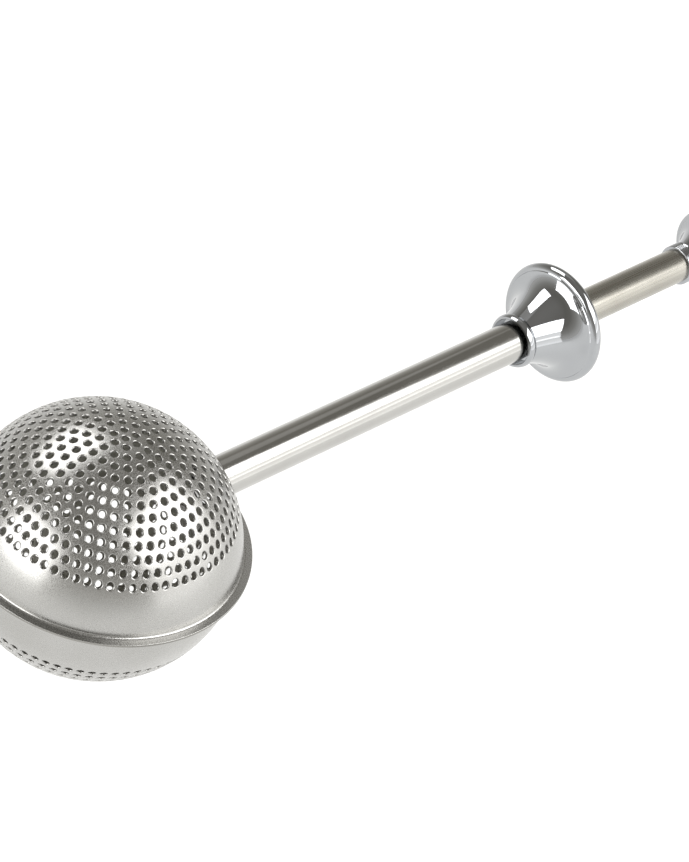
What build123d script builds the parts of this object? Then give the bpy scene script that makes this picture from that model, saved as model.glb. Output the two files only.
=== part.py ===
from build123d import *
import os
from math import atan2, cos, degrees, radians, sin, sqrt

# Push-plunger tea infuser. All sizes in millimetres and degrees.
# Everything is drawn in the ball's frame, where the seam plane is z = 0, the handle runs along +X
# and the origin is the middle of the seam. Each node is shifted once, when it is exported, so that
# the origin lands under the middle of the closed infuser, level with the bottom of the ball.

# Driving dimensions: ball
SHEET = 0.5
BALL_R = 25.0
UPPER_CENTRE_Z = -2.6
LOWER_CENTRE_Z = 0.0
UPPER_RIM_R = 26.4
LOWER_RIM_R = 26.1
SEAM_GAP = 0.1
RIM_FILLET = 0.5
HOLE_D = 1.38
HOLE_ROWS = 12
UPPER_HOLE_STEP = 4.85
LOWER_HOLE_STEP = 5.2
HOLE_STEP_GROWTH = 0.0205
SPOKES = 6
UPPER_SPOKE_PHASE = -5.3
LOWER_SPOKE_PHASE = -7.9

# Driving dimensions: handle
TUBE_R = 3.75
TUBE_BORE_R = 3.35
TUBE_START = 24.2
TUBE_END = 112.9
FLANGE_START = 101.4
FLANGE_DEPTH = 13.0
FLANGE_R = 11.65
INNER_R = 3.3
INNER_BORE_R = 2.9
INNER_START = 86.0
FERRULE_START = 147.7
FERRULE_R = 3.9
KNOB_START = 149.8
KNOB_LENGTH = 11.4
KNOB_R = 8.1

# Driving dimensions: jaw hinge and its drive
HINGE_X = 25.5
HINGE_Z = -11.0
CRANK_R = 12.0
HALF_SWING = 40.0
HINGE_PIN_R = 0.9
DRIVE_PIN_R = 1.0
DRIVE_PIN_HALF = 2.2
LEVER_HALF = 0.6
RUNNING_GAP = 0.05
EAR_IN = 3.9
EAR_OUT = 4.9

# Driving dimensions: plunger
FORK_R = 3.25
FORK_START = 25.0
FORK_END = 43.0
ROD_R = 2.0
BUSH_START = 47.0
BUSH_END = 51.0
SPRING_R = 2.6
SPRING_WIRE_R = 0.25
SPRING_TURNS = 14

# Driving dimensions: straps, rivets and cut-outs of the ball
COLLAR_SHEET = 0.6
COLLAR_R = 6.4
COLLAR_RIVETS = [(-3.7, 3.7), (3.7, 3.7)]
FOOT_SHEET = 0.7
FOOT_HALF = 3.2
FOOT_TOP = -5.2
FOOT_BOTTOM = -10.9
FOOT_RIVETS = [(-2.0, -7.8), (2.0, -7.8)]
RIVET_R = 0.6
RIVET_HEAD_R = 1.0
TUBE_NOTCH_R = 3.85
JAW_NOTCH_R = 4.2
JAW_RIM_NOTCH = 5.5

# Driving dimensions: window under the tube, yoke and lever
WINDOW_HALF = 2.4
WINDOW_END = 36.0
EAR_R = 1.9
EAR_BACK = 28.5
SADDLE_START = 25.4
SADDLE_END = 27.2
WEB_START = 26.3
WEB_SHEET = 0.6
LEVER_EYE_R = 1.7
LEVER_HUB_R = 1.9

# Driving dimensions: slots and pin of the fork, ends of the plunger
SLOT_HALF = 0.85
SLOT_REACH = 4.6
PIN_SLOT_HALF = 1.35
PIN_SLOT_TOP = 2.25
FORK_PIN_X = 41.0
FORK_PIN_R = 0.6
ROD_START = 39.0
PLUG_DEPTH = 3.0
STUD_R = 1.5
GUIDE_RING_R = 4.5
KNOB_FLAT_R = 4.5

# Worked out from the above
DRIVE_X = HINGE_X + CRANK_R * sin(radians(HALF_SWING))
DRIVE_Z = HINGE_Z + CRANK_R * cos(radians(HALF_SWING))
STROKE = 2 * CRANK_R * sin(radians(HALF_SWING))
KNOB_END = KNOB_START + KNOB_LENGTH
FLANGE_END = FLANGE_START + FLANGE_DEPTH
PLUG_FACE = INNER_START - 1.0
WEB_LOW = HINGE_Z - 2.7
STUD_START = KNOB_START - 7.0
STUD_END = KNOB_START + 6.5
INNER_END = KNOB_START - 0.4
ORIGIN_X = (KNOB_END - UPPER_RIM_R) / 2
ORIGIN_Z = LOWER_CENTRE_Z - BALL_R


def bar(x0, x1, radius):
    """A round bar on the handle axis."""
    return Pos((x0 + x1) / 2, 0, 0) * Rot(0, 90, 0) * Cylinder(radius, x1 - x0)


def pipe(x0, x1, outer, inner):
    """A round pipe on the handle axis."""
    return bar(x0, x1, outer) - bar(x0 - 1, x1 + 1, inner)


def cross_bar(x, z, radius, y0, y1):
    """A round bar along Y."""
    return Pos(x, (y0 + y1) / 2, z) * Rot(90, 0, 0) * Cylinder(radius, y1 - y0)


def block(x0, x1, y0, y1, z0, z1):
    """A box given by its two corners."""
    middle = Pos((x0 + x1) / 2, (y0 + y1) / 2, (z0 + z1) / 2)
    return middle * Box(x1 - x0, y1 - y0, z1 - z0)


def plate(outline, y0, y1):
    """A flat plate: an outline in X and Z, from y0 to y1."""
    sheet = Plane(origin=(0, y1, 0), x_dir=(1, 0, 0), z_dir=(0, -1, 0)) * outline
    return extrude(sheet, y1 - y0)


def turned(lines):
    """A solid turned about the handle axis from a closed outline of (x, radius)."""
    return revolve(make_face(lines), Axis.X)


def ball_spot(centre_z, azimuth, polar, height):
    """The place at a height over the ball's wall, with +Z pointing straight out of the wall."""
    return Pos(0, 0, centre_z) * Rot(0, 0, azimuth) * Rot(0, polar, 0) * Pos(0, 0, height)


def spot_at(centre_z, y, z):
    """Azimuth and polar angle of the wall point on the handle's side that has this y and z."""
    rise = z - centre_z
    x = sqrt(BALL_R**2 - y**2 - rise**2)
    aim = Vector(x, y, 0)
    azimuth = aim.get_signed_angle(Vector(1, 0, 0), Vector(0, 0, -1))
    return azimuth, Vector(x, y, rise).get_angle(Vector(0, 0, 1))


def dome(centre_z, rim_r, hole_step, spoke_phase):
    """One pressed half ball about its sphere's centre: perforated wall, flat rim, rounded corner."""
    low = SEAM_GAP / 2 - centre_z
    top = low + SHEET
    inner = BALL_R - SHEET
    fillet_z = top + RIM_FILLET
    fillet_x = sqrt((BALL_R + RIM_FILLET) ** 2 - fillet_z**2)
    share = BALL_R / (BALL_R + RIM_FILLET)
    wall = (fillet_x * share, fillet_z * share)
    half = cos(radians(45))
    bend = (fillet_x - RIM_FILLET * half, fillet_z - RIM_FILLET * half)
    foot = (sqrt(inner**2 - low**2), low)
    edge = rim_r - SHEET / 2
    wall_angle = degrees(atan2(wall[1], wall[0]))
    foot_angle = degrees(atan2(foot[1], foot[0]))
    lines = [
        CenterArc((0, 0), BALL_R, wall_angle, 90 - wall_angle),
        ThreePointArc(wall, bend, (fillet_x, top)),
        Line((fillet_x, top), (edge, top)),
        ThreePointArc((edge, top), (rim_r, low + SHEET / 2), (edge, low)),
        Line((edge, low), foot),
        CenterArc((0, 0), inner, foot_angle, 90 - foot_angle),
        Line((0, inner), (0, BALL_R)),
    ]
    return revolve(Plane.XZ * make_face(lines), Axis.Z) - perforation(hole_step, spoke_phase)


def perforation(hole_step, spoke_phase):
    """Hole cutters: one at the pole, then rings of 6, 12, 18 and so on, aligned on six spokes."""
    drill = Cylinder(HOLE_D / 2, BALL_R + 1, align=(Align.CENTER, Align.CENTER, Align.MIN))
    drill -= Box(2, 2, 2 * (BALL_R - 2 * SHEET))
    cutters = [drill]
    for row in range(1, HOLE_ROWS + 1):
        polar = row * (hole_step + row * HOLE_STEP_GROWTH)
        for i in range(SPOKES * row):
            azimuth = spoke_phase + 360 * i / (SPOKES * row)
            cutters.append(Rot(0, 0, azimuth) * Rot(0, polar, 0) * drill)
    return cutters


def rivet(centre_z, y, z, stack):
    """A rivet through the ball's wall and the strap on it, together as thick as the stack."""
    azimuth, polar = spot_at(centre_z, y, z)
    base = ball_spot(centre_z, azimuth, polar, BALL_R - SHEET)
    shank = Pos(0, 0, stack / 2) * Cylinder(RIVET_R, stack + 0.1)
    outer_head = Pos(0, 0, stack + 0.25) * Cylinder(RIVET_HEAD_R, 0.5)
    inner_head = Pos(0, 0, -0.23) * Cylinder(RIVET_HEAD_R, 0.4)
    return base * (shank + outer_head + inner_head)


def rivet_hole(centre_z, y, z):
    """The cutter for a rivet's shank."""
    azimuth, polar = spot_at(centre_z, y, z)
    return ball_spot(centre_z, azimuth, polar, BALL_R) * Cylinder(RIVET_R, 5)


def upper_shell():
    upright = dome(UPPER_CENTRE_Z, UPPER_RIM_R, UPPER_HOLE_STEP, UPPER_SPOKE_PHASE)
    shell = Pos(0, 0, UPPER_CENTRE_Z) * upright
    shell -= bar(BALL_R - 6, UPPER_RIM_R + 1, TUBE_NOTCH_R)
    return shell - [rivet_hole(UPPER_CENTRE_Z, y, z) for y, z in COLLAR_RIVETS]


def lower_shell():
    upright = dome(-LOWER_CENTRE_Z, LOWER_RIM_R, LOWER_HOLE_STEP, LOWER_SPOKE_PHASE)
    shell = Pos(0, 0, LOWER_CENTRE_Z) * mirror(upright, Plane.XY)
    shell -= bar(BALL_R - 6, LOWER_RIM_R + 1, JAW_NOTCH_R)
    shell -= block(BALL_R - 0.2, LOWER_RIM_R + 1, -JAW_RIM_NOTCH, JAW_RIM_NOTCH, -1.3, 1)
    return shell - [rivet_hole(LOWER_CENTRE_Z, y, z) for y, z in FOOT_RIVETS]


def ball_strap(centre_z, sheet):
    """A skin of this thickness lying on the outside of one dome."""
    return Pos(0, 0, centre_z) * (Sphere(BALL_R + sheet) - Sphere(BALL_R))


def socket_collar():
    """The arch riveted to the upper dome that the outer tube is welded into."""
    ring = pipe(BALL_R - 6, BALL_R + 2, COLLAR_R, TUBE_R)
    arch = ring & ball_strap(UPPER_CENTRE_Z, COLLAR_SHEET)
    arch -= block(0, BALL_R + 3, -COLLAR_R - 1, COLLAR_R + 1, -COLLAR_R - 1, 1.2)
    return arch - [rivet_hole(UPPER_CENTRE_Z, y, z) for y, z in COLLAR_RIVETS]


def collar_rivets():
    stack = SHEET + COLLAR_SHEET
    return [rivet(UPPER_CENTRE_Z, y, z, stack) for y, z in COLLAR_RIVETS]


def outer_tube():
    """The fixed tube, open underneath at the ball's end where the lever swings."""
    tube = pipe(TUBE_START, TUBE_END, TUBE_R, TUBE_BORE_R)
    return tube - block(TUBE_START - 1, WINDOW_END, -WINDOW_HALF, WINDOW_HALF, -TUBE_R - 1, 0)


def hinge_yoke():
    """Two ears saddled to the tube's sides and joined by a web under the pin."""
    outline = Polygon(
        (SADDLE_START, -6.0), (HINGE_X - EAR_R, HINGE_Z), (HINGE_X, HINGE_Z - EAR_R), (WEB_START, WEB_LOW),
        (EAR_BACK, WEB_LOW), (EAR_BACK, -3.4), (SADDLE_END, -1.2), (SADDLE_START, -1.2), align=None,
    )
    ear = outline + Pos(HINGE_X, HINGE_Z) * Circle(EAR_R)
    yoke = plate(ear, EAR_IN, EAR_OUT) + plate(ear, -EAR_OUT, -EAR_IN)
    yoke += block(WEB_START, EAR_BACK, -EAR_OUT, EAR_OUT, WEB_LOW, WEB_LOW + WEB_SHEET)
    saddle = pipe(SADDLE_START, SADDLE_END, TUBE_R + 0.8, TUBE_R)
    saddle &= block(0, 50, -9, 9, -9, -1.2)
    saddle -= block(0, 50, -WINDOW_HALF, WINDOW_HALF, -9, 0)
    yoke += saddle
    yoke -= bar(0, 50, TUBE_R)
    return yoke - cross_bar(HINGE_X, HINGE_Z, HINGE_PIN_R, -6, 6)


def hinge_pin():
    """A headed pin through both ears."""
    pin = cross_bar(HINGE_X, HINGE_Z, HINGE_PIN_R, -EAR_OUT, EAR_OUT)
    for side in (-1, 1):
        near, far = sorted((side * EAR_OUT, side * (EAR_OUT + 0.5)))
        pin += cross_bar(HINGE_X, HINGE_Z, HINGE_PIN_R + 0.5, near, far)
    return pin


def hinge_spacers():
    """Two sleeves that keep the lever in the middle of the pin."""
    sleeves = []
    for side in (-1, 1):
        near, far = sorted((side * (LEVER_HALF + RUNNING_GAP), side * EAR_IN))
        sleeve = cross_bar(HINGE_X, HINGE_Z, 1.6, near, far)
        sleeves.append(sleeve - cross_bar(HINGE_X, HINGE_Z, HINGE_PIN_R, -6, 6))
    return sleeves


def hinge_lever():
    """The crank plate: hub on the hinge pin, eye for the drive pin, foot riveted to the lower dome."""
    hub = Pos(HINGE_X, HINGE_Z) * Circle(LEVER_HUB_R)
    eye = Pos(DRIVE_X, DRIVE_Z) * Circle(LEVER_EYE_R)
    arm = make_hull([*hub.edges(), *eye.edges()])
    heel = Polygon(
        (21.0, FOOT_BOTTOM), (HINGE_X, HINGE_Z - LEVER_HUB_R), (HINGE_X + LEVER_HUB_R, HINGE_Z),
        (HINGE_X, FOOT_TOP), (23.4, FOOT_TOP), align=None,
    )
    lever = plate(arm + heel, -LEVER_HALF, LEVER_HALF)
    strip = block(0, BALL_R + 3, -FOOT_HALF, FOOT_HALF, FOOT_BOTTOM, FOOT_TOP)
    lever += strip & ball_strap(LOWER_CENTRE_Z, FOOT_SHEET)
    lever -= Pos(0, 0, LOWER_CENTRE_Z) * Sphere(BALL_R)
    lever -= cross_bar(HINGE_X, HINGE_Z, HINGE_PIN_R + RUNNING_GAP, -6, 6)
    lever -= cross_bar(DRIVE_X, DRIVE_Z, DRIVE_PIN_R, -6, 6)
    return lever - [rivet_hole(LOWER_CENTRE_Z, y, z) for y, z in FOOT_RIVETS]


def lever_rivets():
    stack = SHEET + FOOT_SHEET
    return [rivet(LOWER_CENTRE_Z, y, z, stack) for y, z in FOOT_RIVETS]


def drive_pin():
    return cross_bar(DRIVE_X, DRIVE_Z, DRIVE_PIN_R, -DRIVE_PIN_HALF, DRIVE_PIN_HALF)


def rod_fork():
    """The plunger's nose: slotted for the lever, with a cross slot that carries the drive pin."""
    fork = bar(FORK_START, FORK_END, FORK_R)
    fork -= block(DRIVE_X - SLOT_REACH, DRIVE_X + SLOT_REACH, -SLOT_HALF, SLOT_HALF, -5, 5)
    across = DRIVE_PIN_HALF + 0.15
    fork -= block(DRIVE_X - PIN_SLOT_HALF, DRIVE_X + PIN_SLOT_HALF, -across, across, -5, PIN_SLOT_TOP)
    fork -= bar(ROD_START, FORK_END + 1, ROD_R)
    fork -= Pos(FORK_PIN_X, 0, 0) * Cylinder(FORK_PIN_R, 9)
    return chamfer(fork.edges().filter_by(GeomType.CIRCLE).sort_by(Axis.X)[0], 0.4)


def fork_pin():
    return Pos(FORK_PIN_X, 0, 0) * Cylinder(FORK_PIN_R, 2 * FORK_R - 0.3)


def push_rod():
    rod = bar(ROD_START, PLUG_FACE + PLUG_DEPTH, ROD_R)
    return rod - Pos(FORK_PIN_X, 0, 0) * Cylinder(FORK_PIN_R, 9)


def stop_collar():
    """The ring on the rod that meets the guide bush when the plunger is fully back."""
    return pipe(BUSH_START - 2.2, BUSH_START - 0.05, FORK_R - 0.1, ROD_R)


def guide_bush():
    """The bush pressed into the outer tube: it guides the rod and seats the spring."""
    return pipe(BUSH_START, BUSH_END, TUBE_BORE_R, ROD_R + RUNNING_GAP)


def return_spring():
    length = PLUG_FACE - BUSH_END - 2 * SPRING_WIRE_R
    path = Helix(length / SPRING_TURNS, length, SPRING_R)
    wire = Plane(origin=path @ 0, z_dir=path % 0) * Circle(SPRING_WIRE_R)
    coil = sweep(wire, path, is_frenet=True)
    return Pos(BUSH_END + SPRING_WIRE_R, 0, 0) * Rot(0, 90, 0) * coil


def front_plug():
    """Closes the inner tube's front end, holds the rod and takes the spring's push."""
    plug = bar(PLUG_FACE, INNER_START, INNER_R) + bar(INNER_START, INNER_START + 5, INNER_BORE_R)
    return plug - bar(PLUG_FACE - 1, PLUG_FACE + PLUG_DEPTH, ROD_R)


def inner_tube():
    return pipe(INNER_START, INNER_END, INNER_R, INNER_BORE_R)


def rear_plug():
    return bar(STUD_START - 2, INNER_END, INNER_BORE_R) - bar(STUD_START, INNER_END + 1, STUD_R)


def knob_stud():
    return bar(STUD_START, STUD_END, STUD_R)


def finger_flange():
    """The flared finger rest pressed on the outer tube, its wide lip towards the knob."""
    start = FLANGE_START
    bore = TUBE_R
    mouth = TUBE_END
    back = FLANGE_END
    lines = [
        Polyline((mouth, bore), (start + 1.4, bore), (start + 1.4, 4.45), (start, 4.45), (start, 4.9)),
        ThreePointArc((start, 4.9), (start + 0.9, 5.2), (start + 1.8, 4.9)),
        ThreePointArc((start + 1.8, 4.9), (start + 5.0, 5.9), (start + 8.0, 7.5)),
        ThreePointArc((start + 8.0, 7.5), (start + 9.3, 8.75), (start + 10.2, 10.5)),
        Line((start + 10.2, 10.5), (start + 10.4, 10.6)),
        ThreePointArc((start + 10.4, 10.6), (start + 11.55, FLANGE_R), (start + 12.7, 10.7)),
        ThreePointArc((start + 12.7, 10.7), (start + 12.3, 8.0), (back, GUIDE_RING_R + 0.9)),
        Polyline((back, GUIDE_RING_R + 0.9), (back, GUIDE_RING_R), (mouth, GUIDE_RING_R), (mouth, bore)),
    ]
    return turned(lines)


def guide_ring():
    """The slide ring at the outer tube's mouth, round the inner tube."""
    return pipe(TUBE_END, FLANGE_END, GUIDE_RING_R, INNER_R + RUNNING_GAP)


def knob_ferrule():
    ring = pipe(FERRULE_START, KNOB_START, FERRULE_R, INNER_R)
    rims = ring.edges().filter_by(GeomType.CIRCLE).sort_by(SortBy.RADIUS)[-2:]
    return fillet(rims, 0.3)


def knob():
    """The push knob: a smaller flare, rounded over to a flat end."""
    start = KNOB_START
    end = KNOB_END
    lines = [
        Line((start, 0), (start, 3.6)),
        ThreePointArc((start, 3.6), (start + 0.6, 3.9), (start + 1.2, 3.6)),
        ThreePointArc((start + 1.2, 3.6), (start + 3.4, 4.3), (start + 5.4, 5.35)),
        ThreePointArc((start + 5.4, 5.35), (start + 6.3, 6.1), (start + 6.9, 7.0)),
        Line((start + 6.9, 7.0), (start + 7.0, 7.1)),
        ThreePointArc((start + 7.0, 7.1), (start + 7.9, KNOB_R), (start + 8.9, 7.5)),
        ThreePointArc((start + 8.9, 7.5), (start + 10.5, 6.3), (end, KNOB_FLAT_R)),
        Line((end, KNOB_FLAT_R), (end, 0)),
        Line((end, 0), (start, 0)),
    ]
    return turned(lines) - bar(start - 1, STUD_END, STUD_R)


NODES = [
    upper_shell, lower_shell, outer_tube, socket_collar, collar_rivets, hinge_yoke, hinge_pin,
    hinge_spacers, hinge_lever, lever_rivets, drive_pin, rod_fork, fork_pin, push_rod, stop_collar,
    guide_bush, return_spring, front_plug, inner_tube, rear_plug, knob_stud, finger_flange, guide_ring,
    knob_ferrule, knob,
]


def export(name, made):
    """Shift a node into the part's frame and write it, as one solid or as a group of solids."""
    shift = Pos(-ORIGIN_X, 0, -ORIGIN_Z)
    solids = [s for piece in (made if isinstance(made, list) else [made]) for s in piece.solids()]
    moved = [shift * solid for solid in solids]
    export_step(moved[0] if len(moved) == 1 else Compound(children=moved), f"parts/{name}.step")


os.makedirs("parts", exist_ok=True)
for make in NODES:
    export(make.__name__, make())
print("stroke", round(STROKE, 3), "origin", round(ORIGIN_X, 3), round(ORIGIN_Z, 3))
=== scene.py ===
from math import atan2, cos, pi, radians, sin, sqrt, tan

import bpy
from mathutils import Matrix, Vector


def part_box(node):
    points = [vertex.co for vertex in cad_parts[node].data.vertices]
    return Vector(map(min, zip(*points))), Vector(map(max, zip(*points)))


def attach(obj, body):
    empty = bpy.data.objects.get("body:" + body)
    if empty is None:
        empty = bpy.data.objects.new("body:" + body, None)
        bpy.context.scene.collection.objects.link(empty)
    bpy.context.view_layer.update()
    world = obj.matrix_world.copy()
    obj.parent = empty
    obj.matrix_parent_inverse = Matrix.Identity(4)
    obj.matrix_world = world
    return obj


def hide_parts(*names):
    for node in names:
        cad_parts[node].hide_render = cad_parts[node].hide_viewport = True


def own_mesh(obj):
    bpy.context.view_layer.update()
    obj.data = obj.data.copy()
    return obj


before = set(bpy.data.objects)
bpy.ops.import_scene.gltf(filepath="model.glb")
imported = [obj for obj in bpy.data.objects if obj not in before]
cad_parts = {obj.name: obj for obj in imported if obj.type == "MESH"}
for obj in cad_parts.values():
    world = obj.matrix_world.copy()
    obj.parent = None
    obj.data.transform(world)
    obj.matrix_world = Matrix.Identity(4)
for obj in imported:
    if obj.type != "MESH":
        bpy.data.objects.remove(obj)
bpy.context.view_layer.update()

# Places and sizes are in millimetres in the ball's frame: the seam plane is z = 0, the handle runs
# along +X, and the origin is the middle of the seam. MM turns them into metres, and BALL is that
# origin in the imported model's frame, in metres. A half's drop is how far its sphere's middle lies
# past the seam: the upper half is a little shallower than a hemisphere.
MM = 0.001
SHEET = 0.5
BALL_R = 25.0
UPPER_DROP = 2.6
LOWER_DROP = 0.0
SEAM_GAP = 0.1
shell_low, shell_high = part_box("upper_shell")
BALL = Vector((shell_low.x + shell_high.y, 0, shell_low.z - SEAM_GAP / 2 * MM))
UPPER_RIM_R = shell_high.y / MM
LOWER_RIM_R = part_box("lower_shell")[1].y / MM


def reach(node):
    """Where a node starts and ends along the handle."""
    low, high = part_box(node)
    return (low.x - BALL.x) / MM, (high.x - BALL.x) / MM


# ---------------------------------------------------------------------------------------------
# Meshes

POINTS_PER_MM = 2000


class Shape:
    """A mesh in the making. A corner is a point's index and the normal that a face has there. Places
    that agree to 1 / POINTS_PER_MM share a point."""

    def __init__(self):
        self.points = []
        self.known = {}
        self.faces = []
        self.finishes = []

    def corner(self, place, normal):
        """A corner at this place, on the point already there or on a new one."""
        key = tuple(round(c * POINTS_PER_MM) for c in place)
        if key not in self.known:
            self.known[key] = len(self.points)
            self.points.append(Vector(place))
        return self.known[key], Vector(normal)

    def face(self, *corners, finish=0):
        """A triangle or quad, less the corners that fall together, in one of the piece's finishes."""
        kept = [c for i, c in enumerate(corners) if c[0] != corners[i - 1][0]]
        if len({c[0] for c in kept}) == len(kept) >= 3:
            self.faces.append(kept)
            self.finishes.append(finish)

    def band(self, one, two):
        """A closed band of quads between two rings of corners."""
        for i in range(len(one)):
            j = (i + 1) % len(one)
            self.face(one[i], one[j], two[j], two[i])

    def mirror(self):
        """Turn the shape upside down through the seam plane."""
        self.points = [Vector((p.x, p.y, -p.z)) for p in self.points]
        flipped = []
        for face in self.faces:
            flipped.append([(i, Vector((n.x, n.y, -n.z))) for i, n in reversed(face)])
        self.faces = flipped

    def build(self, name):
        """The Blender object, smooth shaded with the shape's own normals."""
        mesh = bpy.data.meshes.new(name)
        places = [BALL + p * MM for p in self.points]
        mesh.from_pydata(places, [], [[c[0] for c in face] for face in self.faces])
        mesh.polygons.foreach_set("use_smooth", [True] * len(mesh.polygons))
        mesh.polygons.foreach_set("material_index", self.finishes)
        mesh.normals_split_custom_set([c[1].normalized() for face in self.faces for c in face])
        piece = bpy.data.objects.new(name, mesh)
        bpy.context.scene.collection.objects.link(piece)
        return piece


def arc(centre, radius, start, end, steps):
    """Points of an arc in (x, r), angles in degrees."""
    angles = [radians(start + (end - start) * i / steps) for i in range(steps + 1)]
    return [(centre[0] + radius * cos(a), centre[1] + radius * sin(a)) for a in angles]


def bow(start, middle, end, steps):
    """Points of the arc through three points. Its centre is where the bisectors between them cross."""
    (ax, ay), (bx, by), (cx, cy) = start, middle, end
    d = 2 * (ax * (by - cy) + bx * (cy - ay) + cx * (ay - by))
    sa, sb, sc = ax**2 + ay**2, bx**2 + by**2, cx**2 + cy**2
    ux = (sa * (by - cy) + sb * (cy - ay) + sc * (ay - by)) / d
    uy = (sa * (cx - bx) + sb * (ax - cx) + sc * (bx - ax)) / d
    radius = sqrt((ax - ux) ** 2 + (ay - uy) ** 2)
    first = atan2(ay - uy, ax - ux)
    turn = atan2(cy - uy, cx - ux) - first
    through = atan2(by - uy, bx - ux) - first
    if not 0 < through / turn < 1:
        turn -= 2 * pi * (1 if turn > 0 else -1)
    angles = [first + turn * i / steps for i in range(steps + 1)]
    return [(ux + radius * cos(a), uy + radius * sin(a)) for a in angles]


HARD_TURN = radians(28)
SAME_POINT = 1e-4
TURNED_SIDES = 160


def turned(name, outline):
    """A solid turned about the handle axis from a closed outline of (x, r), smooth except where it
    bends by more than HARD_TURN."""
    line = [p for i, p in enumerate(outline) if (Vector(p) - Vector(outline[i - 1])).length > SAME_POINT]
    sides = [(Vector(line[(i + 1) % len(line)]) - Vector(p)).normalized() for i, p in enumerate(line)]
    across = [Vector((-s.y, s.x)) for s in sides]
    turns = [2 * pi * k / TURNED_SIDES for k in range(TURNED_SIDES)]
    shape = Shape()

    def ring(index, side):
        """The corners that a point of the outline makes, as the side next to it sees them."""
        neighbour = across[index - 1] if side == index else across[(side + 1) % len(line)]
        facing = across[side]
        if facing.angle(neighbour) < HARD_TURN:
            facing = (facing + neighbour).normalized()
        x, r = line[index]
        return [
            shape.corner((x, r * cos(a), r * sin(a)), (facing.x, facing.y * cos(a), facing.y * sin(a)))
            for a in turns
        ]

    for i in range(len(line)):
        shape.band(ring(i, i), ring((i + 1) % len(line), i))
    return shape.build(name)


# ---------------------------------------------------------------------------------------------
# The perforated half balls

# The pole has one hole, and ring n has n * SPOKES. From one ring to the next is a step in degrees,
# which grows a little away from the pole. A half's phase turns its rings about the pole.
HOLE_ROWS = 12
SPOKES = 6
UPPER_PHASE = radians(-5.3)
LOWER_PHASE = radians(-7.9)
UPPER_HOLE_STEP = 4.85
LOWER_HOLE_STEP = 5.2
HOLE_STEP_GROWTH = 0.0205

# A hole is round at the pole. By the last ring its radius is this much less along the ring and this
# much more across it.
HOLE_R = 0.66
HOLE_NARROWING = 0.09
HOLE_STRETCH = 0.05
HOLE_SIDES = 24
LIP_R = 0.22
LIP_STEPS = 3
INNER_LIP_R = 0.06

# POLE_POINTS are on the border of the pole's cell, and COLUMNS divide the plain wall and the rim.
# CUT_EDGE counts the rim's points from the fillet to the top of its cut edge.
POLE_POINTS = 24
COLUMNS = 720
WALL_STEPS = 10
RIM_FILLET = 0.5
FILLET_STEPS = 5
EDGE_R = 0.08
EDGE_STEPS = 3
CUT_EDGE = FILLET_STEPS + EDGE_STEPS + 1

# A half ball's material slots.
OUTSIDE, INSIDE, RAW_EDGE = 0, 1, 2


def border_points(row):
    """How many points lie on the border outside a ring: a multiple of the holes on each side of it."""
    if row == 0:
        return POLE_POINTS
    return COLUMNS if row == HOLE_ROWS else 2 * SPOKES * row * (row + 1)


def outward(azimuth, polar):
    """The direction from the ball's middle at these angles, the polar one measured from +Z."""
    return Vector((sin(polar) * cos(azimuth), sin(polar) * sin(azimuth), cos(polar)))


class Pattern:
    """Where the rings of holes lie on a half ball."""

    def __init__(self, step, phase):
        self.step = step
        self.phase = phase

    def row_polar(self, row):
        """Polar angle of a ring of holes."""
        return radians(row * (self.step + row * HOLE_STEP_GROWTH))

    def border_polar(self, row):
        """Polar angle half way between a ring and the next."""
        return (self.row_polar(row) + self.row_polar(row + 1)) / 2


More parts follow.
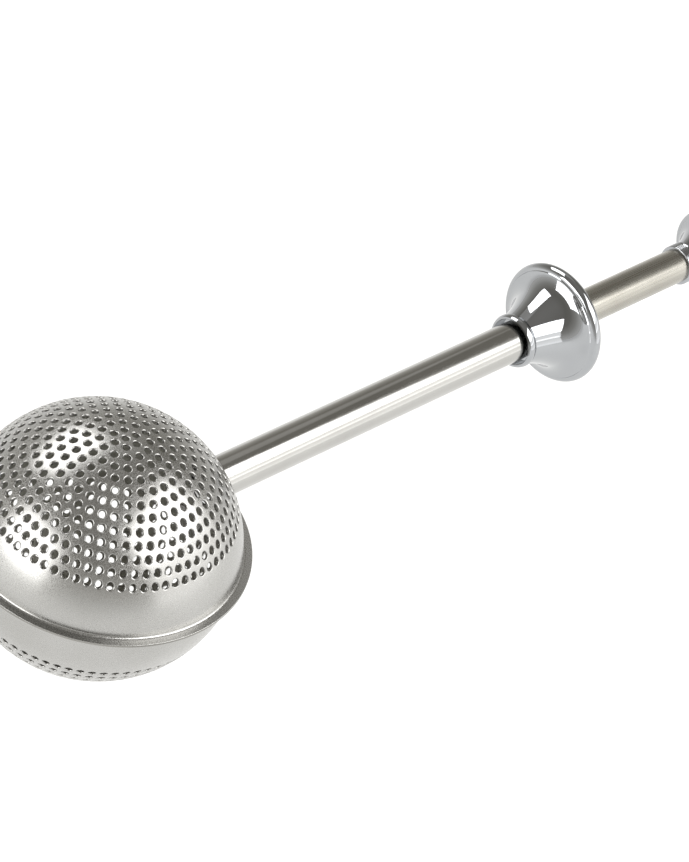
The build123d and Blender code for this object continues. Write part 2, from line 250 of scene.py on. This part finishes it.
class Hole:
    """One hole of the perforation, with the cell of wall round it."""

    def __init__(self, pattern, row, index):
        self.pattern = pattern
        self.row = row
        self.width = 2 * pi / max(1, SPOKES * row)
        self.azimuth = pattern.phase + index * self.width
        self.axis = outward(self.azimuth, pattern.row_polar(row))
        self.across = Vector((-sin(self.azimuth), cos(self.azimuth), 0))
        self.up = self.axis.cross(self.across)

    def turn(self, corner, shape):
        """Angle of a corner round the hole's axis, counter-clockwise from outside."""
        place = shape.points[corner[0]]
        return atan2(place.dot(self.up), place.dot(self.across)) % (2 * pi)

    def ring(self, shape, spread, radius, out, inward):
        """A ring of corners this much wider than the hole, at this distance from the ball's middle."""
        bent = self.row / HOLE_ROWS
        half_w = HOLE_R - HOLE_NARROWING * bent + spread
        half_h = HOLE_R + HOLE_STRETCH * bent + spread
        corners = []
        for i in range(HOLE_SIDES):
            a = 2 * pi * i / HOLE_SIDES
            away = self.across * cos(a) + self.up * sin(a)
            offset = self.across * (half_w * cos(a)) + self.up * (half_h * sin(a))
            aim = (self.axis + offset / BALL_R).normalized()
            corners.append(shape.corner(aim * radius, aim * out - away * inward))
        return corners

    def border(self, shape, radius, out):
        """The corners on the edge of the hole's cell."""
        aims = []
        if self.row == 0:
            aims = [(self.azimuth + 2 * pi * i / POLE_POINTS, 0) for i in range(POLE_POINTS)]
        else:
            start = self.azimuth - self.width / 2
            for edge in (self.row - 1, self.row):
                steps = border_points(edge) // (SPOKES * self.row)
                aims += [(start + self.width * i / steps, edge) for i in range(steps + 1)]
        corners = []
        for azimuth, edge in aims:
            aim = outward(azimuth, self.pattern.border_polar(edge))
            corners.append(shape.corner(aim * radius, aim * out))
        return corners

    def fill(self, shape, border, ring, inside):
        """The wall between the cell's edge and the hole, on one face of the sheet."""
        rim = sorted(border, key=lambda c: self.turn(c, shape))
        rim_turns = [self.turn(c, shape) for c in rim]
        ring_turns = [2 * pi * i / HOLE_SIDES for i in range(HOLE_SIDES)]
        rim_turns.append(rim_turns[0] + 2 * pi)
        ring_turns.append(2 * pi)
        rim.append(rim[0])
        ring = [*ring, ring[0]]
        i = j = 0
        while i < len(rim) - 1 or j < HOLE_SIDES:
            step_rim = j == HOLE_SIDES or (i < len(rim) - 1 and rim_turns[i + 1] <= ring_turns[j + 1])
            corners = [rim[i], rim[i + 1] if step_rim else ring[j + 1], ring[j]]
            shape.face(*(reversed(corners) if inside else corners), finish=int(inside))
            i, j = (i + 1, j) if step_rim else (i, j + 1)

    def add(self, shape):
        """Make the hole's lip, wall and inner lip, and the cell's two faces."""
        rings = []
        for i in range(LIP_STEPS + 1):
            t = pi / 2 * i / LIP_STEPS
            spread, sunk = LIP_R * (1 - sin(t)), LIP_R * (1 - cos(t))
            rings.append(self.ring(shape, spread, BALL_R - sunk, cos(t), sin(t)))
        inner = BALL_R - SHEET
        rings.append(self.ring(shape, 0, inner + INNER_LIP_R, 0, 1))
        rings.append(self.ring(shape, INNER_LIP_R, inner, -1, 0))
        for one, two in zip(rings, rings[1:]):
            shape.band(one, two)
        self.fill(shape, self.border(shape, BALL_R, 1), rings[0], False)
        self.fill(shape, self.border(shape, inner, -1), rings[-1], True)


def wall_line(radius, start, end, out):
    """The ball's wall from one polar angle to another, as (r, z, normal r, normal z)."""
    line = []
    for i in range(WALL_STEPS + 1):
        a = start + (end - start) * i / WALL_STEPS
        line.append((radius * sin(a), radius * cos(a), out * sin(a), out * cos(a)))
    return line


def rim_line(low, rim_r):
    """The rounded corner under the wall, the rim's top, its cut edge and its underside."""
    top = low + SHEET
    fillet_z = top + RIM_FILLET
    fillet_r = sqrt((BALL_R + RIM_FILLET) ** 2 - fillet_z**2)
    wall_polar = atan2(fillet_r, fillet_z)
    line = []
    for i in range(1, FILLET_STEPS + 1):
        a = wall_polar * (1 - i / FILLET_STEPS)
        line.append((fillet_r - RIM_FILLET * sin(a), fillet_z - RIM_FILLET * cos(a), sin(a), cos(a)))
    for middle, start in ((top - EDGE_R, 0), (low + EDGE_R, pi / 2)):
        for i in range(EDGE_STEPS + 1):
            a = start + pi / 2 * i / EDGE_STEPS
            line.append((rim_r - EDGE_R + EDGE_R * sin(a), middle + EDGE_R * cos(a), sin(a), cos(a)))
    foot_r = sqrt((BALL_R - SHEET) ** 2 - low**2)
    line.append((foot_r, low, 0, -1))
    return wall_polar, line


def section(start, drop, rim_r, cut):
    """The sheet below the last row of holes, from the outside round the rim to the inside. Where the
    wall is cut away, cut is the height of the cut edge."""
    inner = BALL_R - SHEET
    low = drop + SEAM_GAP / 2
    wall_polar, edge = rim_line(low, rim_r)
    inner_polar = atan2(sqrt(inner**2 - low**2), low)
    if cut is not None:
        wall_polar = atan2(sqrt(BALL_R**2 - cut**2), cut)
        inner_polar = atan2(sqrt(inner**2 - cut**2), cut)
        mouth = (BALL_R * sin(wall_polar), cut, 0, -1)
        throat = (inner * sin(inner_polar), cut, 0, -1)
        edge = [mouth] * CUT_EDGE + [throat] * (len(edge) - CUT_EDGE)
    outside = wall_line(BALL_R, start, wall_polar, 1)
    return outside + edge + wall_line(inner, inner_polar, start, -1)


def half_ball(name, pattern, drop, rim_r, notch_r, rim_notch, upside_down):
    """One pressed half: perforated wall, plain band and rim, cut away where the handle goes in."""
    shape = Shape()
    for row in range(HOLE_ROWS + 1):
        for index in range(max(1, SPOKES * row)):
            Hole(pattern, row, index).add(shape)
    start = pattern.border_polar(HOLE_ROWS)
    half_cell = 0.5 * COLUMNS / (SPOKES * HOLE_ROWS)
    columns = []
    for i in range(COLUMNS):
        azimuth = pattern.phase + 2 * pi * (i - half_cell) / COLUMNS
        side = abs(BALL_R * sin(azimuth))
        cut = None
        if cos(azimuth) > 0 and side < rim_notch:
            cut = drop + max(sqrt(max(notch_r**2 - side**2, 0)), SEAM_GAP / 2)
        columns.append([
            shape.corner(
                (r * cos(azimuth), r * sin(azimuth), z), (nr * cos(azimuth), nr * sin(azimuth), nz)
            )
            for r, z, nr, nz in section(start, drop, rim_r, cut)
        ])
    first_inside = len(columns[0]) - WALL_STEPS - 1
    cut_face = WALL_STEPS + CUT_EDGE
    for one, two in zip(columns, columns[1:] + columns[:1]):
        for i in range(len(one) - 1):
            finish = INSIDE if i >= first_inside else RAW_EDGE if i == cut_face else OUTSIDE
            shape.face(one[i], one[i + 1], two[i + 1], two[i], finish=finish)
    shape.points = [p - Vector((0, 0, drop)) for p in shape.points]
    if upside_down:
        shape.mirror()
    return shape.build(name)


# How far from the handle axis each half is cut away: the upper to hold the tube, the lower to swing
# clear of it, with a wider gap in the lower rim.
TUBE_NOTCH_R = 3.85
JAW_NOTCH_R = 4.2
JAW_RIM_NOTCH = 5.5


def make_shells():
    """The two halves. Only the upper one's sheared rim edge is painted darker than the sheet, as painted
    shade for the shadow line in the seam.
    """
    upper = half_ball(
        "upper_half", Pattern(UPPER_HOLE_STEP, UPPER_PHASE), UPPER_DROP, UPPER_RIM_R,
        TUBE_NOTCH_R, TUBE_NOTCH_R, False,
    )
    lower = half_ball(
        "lower_half", Pattern(LOWER_HOLE_STEP, LOWER_PHASE), LOWER_DROP, LOWER_RIM_R,
        JAW_NOTCH_R, JAW_RIM_NOTCH, True,
    )
    # The upper half's edge finish is a darker tint: painted shade for the shadow line in the seam under
    # its rim.
    for piece, node, body, edge in (
        (upper, "upper_shell", "handle", "rim_edge_painted_shade"),
        (lower, "lower_shell", "jaw", "shell_steel"),
    ):
        for finish in ("shell_steel", "shell_inside", edge):
            piece.data.materials.append(FINISHES[finish])
        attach(piece, body)
        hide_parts(node)


# ---------------------------------------------------------------------------------------------
# Turned pieces of the handle


def profile(start, *bows):
    """Points of arcs in a row. Each is given by its first, middle and last point, as (x, r) from
    start, and by its steps."""
    points = []
    for first, middle, last, steps in bows:
        points += [(start + x, r) for x, r in bow(first, middle, last, steps)]
    return points


def trim(piece, node, body, slot):
    """Give a piece its finish and body, and let it stand for a node."""
    piece.data.materials.append(FINISHES[slot])
    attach(piece, body)
    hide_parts(node)


def make_finger_flange():
    """The finger rest on the outer tube: neck ring, two arcs of flare, rolled lip and dished back."""
    start, back = reach("finger_flange")
    mouth = reach("guide_ring")[0]
    bore = 3.75
    guide_ring_r = 4.5
    back_wall = 0.9
    well_r = 4.45
    well_depth = 1.4
    chamfer = 0.1
    line = profile(
        start,
        ((0, 4.9), (0.9, 5.2), (1.8, 4.9), 14),
        ((1.8, 4.9), (5.0, 5.9), (8.0, 7.5), 36),
        ((8.0, 7.5), (9.3, 8.75), (10.2, 10.5), 36),
        ((10.4, 10.6), (11.55, 11.65), (12.7, 10.7), 28),
        ((12.7, 10.7), (12.3, 8.0), (back - start, guide_ring_r + back_wall), 20),
    )
    line += [(back, guide_ring_r), (mouth, guide_ring_r), (mouth, bore), (start + well_depth, bore)]
    line += [(start + well_depth, well_r), (start + chamfer, well_r), (start, well_r + chamfer)]
    trim(turned("finger_rest", line), "finger_flange", "handle", "chrome_trim")


def make_knob():
    """The push knob: neck ring, a smaller flare, rolled lip and a dome with a flat end."""
    start, end = reach("knob")
    stud_end = reach("knob_stud")[1]
    stud_r = 1.5
    neck_r = 3.5
    flat_r = 4.5
    axis_r = 0.001
    line = [(start, stud_r), (start, neck_r)]
    line += profile(
        start,
        ((0.05, 3.6), (0.6, 3.9), (1.2, 3.6), 12),
        ((1.2, 3.6), (3.4, 4.3), (5.4, 5.35), 28),
        ((5.4, 5.35), (6.3, 6.1), (6.9, 7.0), 28),
        ((7.0, 7.1), (7.9, 8.1), (8.9, 7.5), 24),
        ((8.9, 7.5), (10.5, 6.3), (end - start, flat_r), 24),
    )
    line += [(end, axis_r), (stud_end, axis_r), (stud_end, stud_r)]
    trim(turned("push_knob", line), "knob", "plunger", "chrome_trim")


def make_ferrule():
    """The ring in front of the knob, with fine turned grooves."""
    start, end = reach("knob_ferrule")
    outer = 3.9
    bore = 3.3
    edge = 0.3
    edge_steps = 6
    grooves = 4
    groove_depth = 0.07
    groove_steps = 8
    steps = groove_steps * grooves
    run = end - start - 2 * edge
    line = [(start, bore)] + arc((start + edge, outer - edge), edge, 180, 90, edge_steps)
    for i in range(1, steps):
        wave = sin(pi * grooves * i / steps) ** 2
        line.append((start + edge + run * i / steps, outer - groove_depth * wave))
    line += arc((end - edge, outer - edge), edge, 90, 0, edge_steps) + [(end, bore)]
    trim(turned("knob_ring", line), "knob_ferrule", "plunger", "chrome_trim")


SPRING_R = 2.6
WIRE_R = 0.25
SPRING_TURNS = 14
CLOSED_TURNS = 1.5
CLOSED_PITCH = 2.1
TIP_RISE = 0.3
TURN_STEPS = 40
WIRE_SIDES = 10


def coil_path(start, end):
    """The middle of the spring's wire: closed turns at both ends, open turns between them. The closed
    turns lie CLOSED_PITCH wire radii apart, which just clears the wire."""
    first, length = start + WIRE_R, end - start - 2 * WIRE_R
    closed = CLOSED_TURNS * CLOSED_PITCH * WIRE_R
    turns = SPRING_TURNS + CLOSED_TURNS
    steps = int(turns * TURN_STEPS)
    path = []
    for i in range(steps + 1):
        turn = turns * i / steps
        if turn < CLOSED_TURNS:
            x = closed * turn / CLOSED_TURNS
        elif turn > turns - CLOSED_TURNS:
            x = length - closed * (turns - turn) / CLOSED_TURNS
        else:
            x = closed + (length - 2 * closed) * (turn - CLOSED_TURNS) / (turns - 2 * CLOSED_TURNS)
        a = 2 * pi * turn
        path.append(Vector((first + x, SPRING_R * cos(a), SPRING_R * sin(a))))
    return path


def wire(path):
    """Round wire along the path, each end closed by a low point."""
    shape = Shape()
    rings = []
    for i, place in enumerate(path):
        ahead = (path[min(i + 1, len(path) - 1)] - path[max(i - 1, 0)]).normalized()
        out = Vector((0, place.y, place.z)).normalized()
        side = ahead.cross(out).normalized()
        ring = []
        for k in range(WIRE_SIDES):
            a = 2 * pi * k / WIRE_SIDES
            away = out * cos(a) + side * sin(a)
            ring.append(shape.corner(place + away * WIRE_R, away))
        rings.append(ring)
    for one, two in zip(rings, rings[1:]):
        shape.band(one, two)
    for ring, place, neighbour in ((rings[0], path[0], path[1]), (rings[-1], path[-1], path[-2])):
        way = (place - neighbour).normalized()
        tip = shape.corner(place + way * WIRE_R * TIP_RISE, way)
        edge = [(index, way) for index, _ in ring]
        for k in range(WIRE_SIDES):
            pair = (edge[k], edge[(k + 1) % WIRE_SIDES])
            shape.face(tip, *(pair[::-1] if ring is rings[0] else pair))
    return shape


def make_spring():
    """The return spring, built at the length of its node on a mesh of its own. In use it shortens with
    the plunger towards its front end.
    """
    start, end = reach("return_spring")
    coil = wire(coil_path(start, end)).build("spring_coil")
    trim(coil, "return_spring", "handle", "spring_steel")
    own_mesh(coil)


# ---------------------------------------------------------------------------------------------
# Materials

# Most noise lies between these values.
NOISE_LOW = 0.3
NOISE_HIGH = 0.7

# The sockets of a Mix node that take two colours and give their mix.
MIX_DARK, MIX_PALE, MIX_RESULT = 6, 7, 2


class Finish:
    """A node-built material: a Principled shader and the textures that feed it."""

    def __init__(self, name):
        self.material = bpy.data.materials.new(name)
        self.material.use_nodes = True
        self.tree = self.material.node_tree
        self.shader = self.tree.nodes["Principled BSDF"]
        self.place = self.tree.nodes.new("ShaderNodeTexCoord").outputs["Object"]

    def set(self, **values):
        """Set the shader's sockets, named in lower case with underscores."""
        for name, value in values.items():
            socket = name.replace("_", " ").title().replace("Ior", "IOR")
            self.shader.inputs[socket].default_value = value
        return self

    def stretched(self, scale):
        """The place on the object, scaled along each axis."""
        node = self.tree.nodes.new("ShaderNodeMapping")
        node.inputs["Scale"].default_value = scale
        self.tree.links.new(self.place, node.inputs["Vector"])
        return node.outputs["Vector"]

    def noise(self, scale, detail, roughness=0.5):
        """Noise whose grain is 1 / scale metres along each axis."""
        node = self.tree.nodes.new("ShaderNodeTexNoise")
        node.inputs["Scale"].default_value = 1.0
        node.inputs["Detail"].default_value = detail
        node.inputs["Roughness"].default_value = roughness
        self.tree.links.new(self.stretched(scale), node.inputs["Vector"])
        return node.outputs["Fac"]

    def between(self, value, low, high):
        """A noise value carried to low...high."""
        node = self.tree.nodes.new("ShaderNodeMapRange")
        node.inputs["From Min"].default_value = NOISE_LOW
        node.inputs["From Max"].default_value = NOISE_HIGH
        node.inputs["To Min"].default_value = low
        node.inputs["To Max"].default_value = high
        self.tree.links.new(value, node.inputs["Value"])
        return node.outputs["Result"]

    def tint(self, value, dark, pale):
        """A colour between two, by the value."""
        node = self.tree.nodes.new("ShaderNodeMix")
        node.data_type = "RGBA"
        node.inputs[MIX_DARK].default_value = (*dark, 1)
        node.inputs[MIX_PALE].default_value = (*pale, 1)
        self.tree.links.new(value, node.inputs["Factor"])
        self.tree.links.new(node.outputs[MIX_RESULT], self.shader.inputs["Base Color"])

    def rough(self, value):
        """Let the value be the roughness."""
        self.tree.links.new(value, self.shader.inputs["Roughness"])

    def bump(self, value, depth, below=None):
        """Relief of this depth in metres, over the relief below it."""
        node = self.tree.nodes.new("ShaderNodeBump")
        node.inputs["Strength"].default_value = 1.0
        node.inputs["Distance"].default_value = depth
        self.tree.links.new(value, node.inputs["Height"])
        if below is not None:
            self.tree.links.new(below, node.inputs["Normal"])
        self.tree.links.new(node.outputs["Normal"], self.shader.inputs["Normal"])
        return node.outputs["Normal"]


# Noise in grains per metre along each axis. DRAWN is long lines along the handle.
MOTTLE = (90, 90, 90)
SWELL = (220, 220, 220)
DRAWN = (60, 9000, 9000)

# A metal has a dark and a pale tint, its lowest and highest roughness, its grain, and the relief of
# its slow swell and of its grain in metres.
METALS = {
    "shell_steel": dict(
        dark=(0.435, 0.43, 0.415), pale=(0.475, 0.47, 0.458),
        rough=(0.16, 0.42), grain=(4500, 4500, 4500), relief=(1.2e-5, 1e-7),
    ),
    "shell_inside": dict(
        dark=(0.42, 0.41, 0.37), pale=(0.48, 0.47, 0.43),
        rough=(0.50, 0.65), grain=(1800, 1800, 1800), relief=(2e-5, 1e-6),
    ),
    # The upper half's sheared rim edge, tinted darker than the sheet: painted shade standing for the
    # shadow line in the seam.
    "rim_edge_painted_shade": dict(
        dark=(0.22, 0.215, 0.20), pale=(0.34, 0.33, 0.31),
        rough=(0.30, 0.42), grain=(4000, 4000, 4000), relief=(4e-6, 4e-6),
    ),
    "tube_steel": dict(
        dark=(0.45, 0.443, 0.425), pale=(0.495, 0.488, 0.47),
        rough=(0.12, 0.18), grain=DRAWN, relief=(4e-6, 1.2e-6),
    ),
    "sliding_tube": dict(
        dark=(0.38, 0.365, 0.325), pale=(0.44, 0.425, 0.385),
        rough=(0.24, 0.32), grain=DRAWN, relief=(6e-6, 2e-6),
    ),
    "chrome_trim": dict(
        dark=(0.40, 0.41, 0.425), pale=(0.43, 0.44, 0.455),
        rough=(0.03, 0.06), grain=(2500, 2500, 2500), relief=(2e-6, 1e-7),
    ),
    "bracket_steel": dict(
        dark=(0.42, 0.415, 0.40), pale=(0.50, 0.49, 0.47),
        rough=(0.28, 0.40), grain=(4000, 4000, 4000), relief=(1e-5, 3e-6),
    ),
    "pin_steel": dict(
        dark=(0.46, 0.455, 0.45), pale=(0.54, 0.53, 0.52),
        rough=(0.16, 0.28), grain=(5000, 5000, 5000), relief=(6e-6, 2e-6),
    ),
    "rod_steel": dict(
        dark=(0.44, 0.43, 0.42), pale=(0.52, 0.51, 0.49),
        rough=(0.18, 0.30), grain=DRAWN, relief=(6e-6, 2e-6),
    ),
    "spring_steel": dict(
        dark=(0.34, 0.33, 0.32), pale=(0.44, 0.43, 0.41),
        rough=(0.20, 0.34), grain=(3000, 3000, 3000), relief=(4e-6, 2e-6),
    ),
}


def metal(name, dark, pale, rough, grain, relief):
    """Steel or chrome: a mottled tint, and roughness and relief that vary with a fine grain."""
    finish = Finish(name).set(metallic=1.0)
    finish.tint(finish.between(finish.noise(MOTTLE, 4.0), 0, 1), dark, pale)
    fine = finish.noise(grain, 5.0, 0.6)
    finish.rough(finish.between(fine, *rough))
    swell = finish.bump(finish.noise(SWELL, 2.0), relief[0])
    finish.bump(fine, relief[1], below=swell)
    return finish.material


def nylon(name):
    """Off-white nylon: slightly waxy, with a moulded grain."""
    finish = Finish(name).set(ior=1.53, subsurface_weight=0.15, subsurface_scale=0.001)
    tone = finish.between(finish.noise((300, 300, 300), 3.0), 0, 1)
    finish.tint(tone, (0.70, 0.69, 0.64), (0.78, 0.77, 0.73))
    grain = finish.noise((2500, 2500, 2500), 3.0)
    finish.rough(finish.between(grain, 0.42, 0.58))
    finish.bump(grain, 2e-5)
    return finish.material


def make_finishes():
    """Every finish by its name. All but three names are the record's material slots."""
    finishes = {name: metal(name, **recipe) for name, recipe in METALS.items()}
    finishes["nylon"] = nylon("nylon")
    return finishes


def dress_frame():
    """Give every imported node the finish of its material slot, and the sliding tube its own."""
    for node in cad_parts.values():
        for slot in node.material_slots:
            slot.material = FINISHES[slot.material.name.split(".")[0]]
    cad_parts["inner_tube"].material_slots[0].material = FINISHES["sliding_tube"]


# ---------------------------------------------------------------------------------------------
# Camera, floor and light

CAMERA_PLACE = (-366.0, -296.1, 445.7)
CAMERA_RIGHT = (0.71079, -0.66250, 0.23639)
CAMERA_UP = (0.33184, 0.61212, 0.71776)
LENS = 160.2
SENSOR = 36.0
FLOOR_Z = -70.0
FLOOR_R = 2500.0
FLOOR_SIDES = 96
FLOOR_GLOW = 0.72


def make_camera():
    """A long lens high up beyond the ball, rolled so that the handle climbs to the right."""
    data = bpy.data.cameras.new("camera")
    data.lens = LENS
    data.sensor_width = SENSOR
    data.clip_start = 0.01
    data.clip_end = 20.0
    camera = bpy.data.objects.new("camera", data)
    bpy.context.scene.collection.objects.link(camera)
    right = Vector(CAMERA_RIGHT).normalized()
    up = Vector(CAMERA_UP)
    up = (up - right * up.dot(right)).normalized()
    turn = Matrix((right, up, right.cross(up))).transposed()
    camera.matrix_world = Matrix.Translation(BALL + Vector(CAMERA_PLACE) * MM) @ turn.to_4x4()
    bpy.context.scene.camera = camera


def make_floor():
    """A plain pale floor, which glows so that it stays evenly white."""
    shape = Shape()
    centre = shape.corner((0, 0, FLOOR_Z), (0, 0, 1))
    turns = [2 * pi * i / FLOOR_SIDES for i in range(FLOOR_SIDES)]
    edge = [shape.corner((FLOOR_R * cos(a), FLOOR_R * sin(a), FLOOR_Z), (0, 0, 1)) for a in turns]
    for i in range(FLOOR_SIDES):
        shape.face(centre, edge[i], edge[(i + 1) % FLOOR_SIDES])
    floor = shape.build("floor")
    finish = Finish("floor").set(
        roughness=0.9, emission_color=(1, 1, 0.99, 1), emission_strength=FLOOR_GLOW
    )
    tone = finish.between(finish.noise((3, 3, 3), 2.0), 0, 1)
    finish.tint(tone, (0.34, 0.34, 0.335), (0.36, 0.36, 0.355))
    floor.data.materials.append(finish.material)


def softbox(name, azimuth, height, wide, tall, radiance, distance):
    """A rectangular light aimed at the ball, its place and size given as angles in degrees, and its
    distance in metres."""
    data = bpy.data.lights.new(name, "AREA")
    data.shape = "RECTANGLE"
    data.size = 2 * distance * tan(radians(wide / 2))
    data.size_y = 2 * distance * tan(radians(tall / 2))
    data.energy = radiance * pi * data.size * data.size_y
    lamp = bpy.data.objects.new(name, data)
    bpy.context.scene.collection.objects.link(lamp)
    aim = outward(radians(azimuth), radians(90 - height))
    turn = aim.to_track_quat("Z", "Y").to_matrix()
    lamp.matrix_world = Matrix.Translation(BALL + aim * distance) @ turn.to_4x4()
    lamp.visible_camera = False


# The studio's colours at the horizon, part way up and overhead. A height is the sine of its angle.
HORIZON = (0.72, 0.71, 0.68)
MIDDLE_SKY = [(0.25, (0.42, 0.41, 0.38)), (0.5, (0.26, 0.25, 0.225)), (0.7, (0.23, 0.222, 0.20))]
ZENITH = (0.30, 0.29, 0.27)


def make_world():
    """A studio that is light at the horizon and dark overhead."""
    world = bpy.data.worlds.new("studio")
    world.use_nodes = True
    nodes, links = world.node_tree.nodes, world.node_tree.links
    place = nodes.new("ShaderNodeTexCoord")
    split = nodes.new("ShaderNodeSeparateXYZ")
    ramp = nodes.new("ShaderNodeValToRGB")
    links.new(place.outputs["Generated"], split.inputs["Vector"])
    links.new(split.outputs["Z"], ramp.inputs["Fac"])
    links.new(ramp.outputs["Color"], nodes["Background"].inputs["Color"])
    shades = ramp.color_ramp.elements
    shades[0].position, shades[0].color = 0.0, (*HORIZON, 1)
    shades[1].position, shades[1].color = 1.0, (*ZENITH, 1)
    for height, colour in MIDDLE_SKY:
        shades.new(height).color = (*colour, 1)
    bpy.context.scene.world = world


def make_light():
    """A broad window on the -Y side with a softer glow under it, smaller lights on the +Y side and
    beyond the ball, and a faint one high up. Each has its azimuth, height, width and tallness in
    degrees, then its radiance, then its distance."""
    softbox("window_side", -62, 45, 60, 34, 3.7, 0.48)
    softbox("window_glow", -58, 22, 64, 22, 1.25, 0.49)
    softbox("window_foot", -56, 4, 66, 24, 0.9, 0.50)
    softbox("far_side", 88, 45, 38, 27, 3.8, 0.60)
    softbox("behind", 167, 16, 44, 36, 3.4, 0.60)
    softbox("overhead", 52, 47, 40, 30, 0.22, 0.60)


FINISHES = make_finishes()
make_camera()
make_floor()
make_world()
make_light()
dress_frame()
make_shells()
make_finger_flange()
make_knob()
make_ferrule()
make_spring()
bpy.context.scene.view_settings.view_transform = "Standard"
